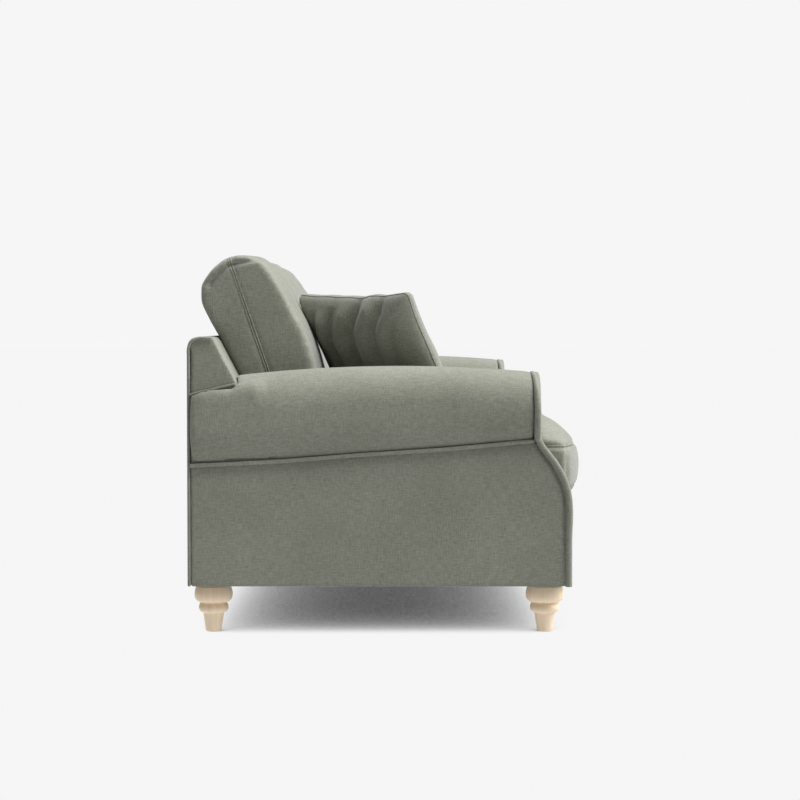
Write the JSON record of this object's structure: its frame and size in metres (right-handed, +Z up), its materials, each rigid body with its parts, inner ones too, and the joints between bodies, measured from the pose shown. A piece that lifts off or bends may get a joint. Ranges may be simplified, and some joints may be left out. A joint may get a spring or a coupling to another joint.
{
  "type": "english roll arm sofa",
  "caption": "Upholstered roll arm sofa with loose seat, back and scatter cushions on turned wooden feet.",
  "frame": {"origin": "on the floor, under the middle of the overall box", "axes": "+Z up, the sofa faces -Y, and +X runs along it, to the right as seen from the front"},
  "size_m": [1.9824, 0.9956, 0.9574],
  "materials": {
    "sofa_fabric": "woven, matte with a faint sheen",
    "scatter_fabric": "woven, matte with a faint sheen",
    "piping_fabric": "woven, matte",
    "foam": "open-cell foam",
    "feather_filling": "downproof cotton",
    "dust_cloth": "thin non-woven cloth",
    "webbing": "elastic webbing",
    "frame_timber": "planed, unfinished",
    "foot_wood": "turned, pale, satin oil",
    "zinc_steel": "zinc plated"
  },
  "bodies": {
    "sofa_frame": {"arm_facing_left": "sofa_fabric", "arm_facing_piping_left": "piping_fabric", "arm_facing_piping_right": "piping_fabric", "arm_facing_right": "sofa_fabric", "arm_front_post_left": "frame_timber", "arm_front_post_right": "frame_timber", "arm_pad_left": "sofa_fabric", "arm_pad_right": "sofa_fabric", "arm_top_rail_left": "frame_timber", "arm_top_rail_right": "frame_timber", "back_end_panel_left": "sofa_fabric", "back_end_panel_right": "sofa_fabric", "back_end_piping_left": "piping_fabric", "back_end_piping_right": "piping_fabric", "back_posts": "frame_timber", "back_rail": "frame_timber", "back_top_rail": "frame_timber", "back_uprights": "frame_timber", "corner_blocks": "frame_timber", "dust_cover": "dust_cloth", "foot_back_left": "foot_wood", "foot_back_right": "foot_wood", "foot_bolts": "zinc_steel", "foot_front_left": "foot_wood", "foot_front_right": "foot_wood", "foot_plates": "zinc_steel", "front_border": "sofa_fabric", "front_edge_piping_left": "piping_fabric", "front_edge_piping_right": "piping_fabric", "front_rail": "frame_timber", "inside_back_pad": "sofa_fabric", "outside_arm_panel_left": "sofa_fabric", "outside_arm_panel_right": "sofa_fabric", "outside_back_panel": "sofa_fabric", "seat_cross_braces": "frame_timber", "seat_platform_cover": "sofa_fabric", "seat_platform_pad": "foam", "side_rail_left": "frame_timber", "side_rail_right": "frame_timber", "under_roll_piping_left": "piping_fabric", "under_roll_piping_right": "piping_fabric", "webbing_front_to_back": "webbing", "webbing_side_to_side": "webbing"},
    "seat_cushion_left": {"seat_cushion_left_core": "foam", "seat_cushion_left_cover": "sofa_fabric"},
    "seat_cushion_centre": {"seat_cushion_centre_core": "foam", "seat_cushion_centre_cover": "sofa_fabric"},
    "seat_cushion_right": {"seat_cushion_right_core": "foam", "seat_cushion_right_cover": "sofa_fabric"},
    "back_cushion_left": {"back_cushion_left_cover": "sofa_fabric", "back_cushion_left_filling": "feather_filling"},
    "back_cushion_centre": {"back_cushion_centre_cover": "sofa_fabric", "back_cushion_centre_filling": "feather_filling"},
    "back_cushion_right": {"back_cushion_right_cover": "sofa_fabric", "back_cushion_right_filling": "feather_filling"},
    "scatter_cushion_left": {"scatter_cushion_left_cover": "scatter_fabric", "scatter_cushion_left_filling": "feather_filling"},
    "scatter_cushion_right": {"scatter_cushion_right_cover": "scatter_fabric", "scatter_cushion_right_filling": "feather_filling"}
  },
  "joints": [
    {"name": "seat_cushion_left_pull_out", "type": "slide", "parent": "sofa_frame", "child": "seat_cushion_left", "axis": [0, -1, 0], "range_m": [0, 0.3]},
    {"name": "seat_cushion_centre_pull_out", "type": "slide", "parent": "sofa_frame", "child": "seat_cushion_centre", "axis": [0, -1, 0], "range_m": [0, 0.3]},
    {"name": "seat_cushion_right_pull_out", "type": "slide", "parent": "sofa_frame", "child": "seat_cushion_right", "axis": [0, -1, 0], "range_m": [0, 0.3]},
    {"name": "back_cushion_left_lift_out", "type": "slide", "parent": "sofa_frame", "child": "back_cushion_left", "axis": [0, 0.4617, 0.887], "range_m": [0, 0.3]},
    {"name": "back_cushion_centre_lift_out", "type": "slide", "parent": "sofa_frame", "child": "back_cushion_centre", "axis": [0, 0.4617, 0.887], "range_m": [0, 0.3]},
    {"name": "back_cushion_right_lift_out", "type": "slide", "parent": "sofa_frame", "child": "back_cushion_right", "axis": [0, 0.4617, 0.887], "range_m": [0, 0.3]},
    {"name": "scatter_cushion_left_lift_off", "type": "slide", "parent": "sofa_frame", "child": "scatter_cushion_left", "axis": [0, 0, 1], "range_m": [0, 0.35]},
    {"name": "scatter_cushion_right_lift_off", "type": "slide", "parent": "sofa_frame", "child": "scatter_cushion_right", "axis": [0, 0, 1], "range_m": [0, 0.35]}
  ]
}
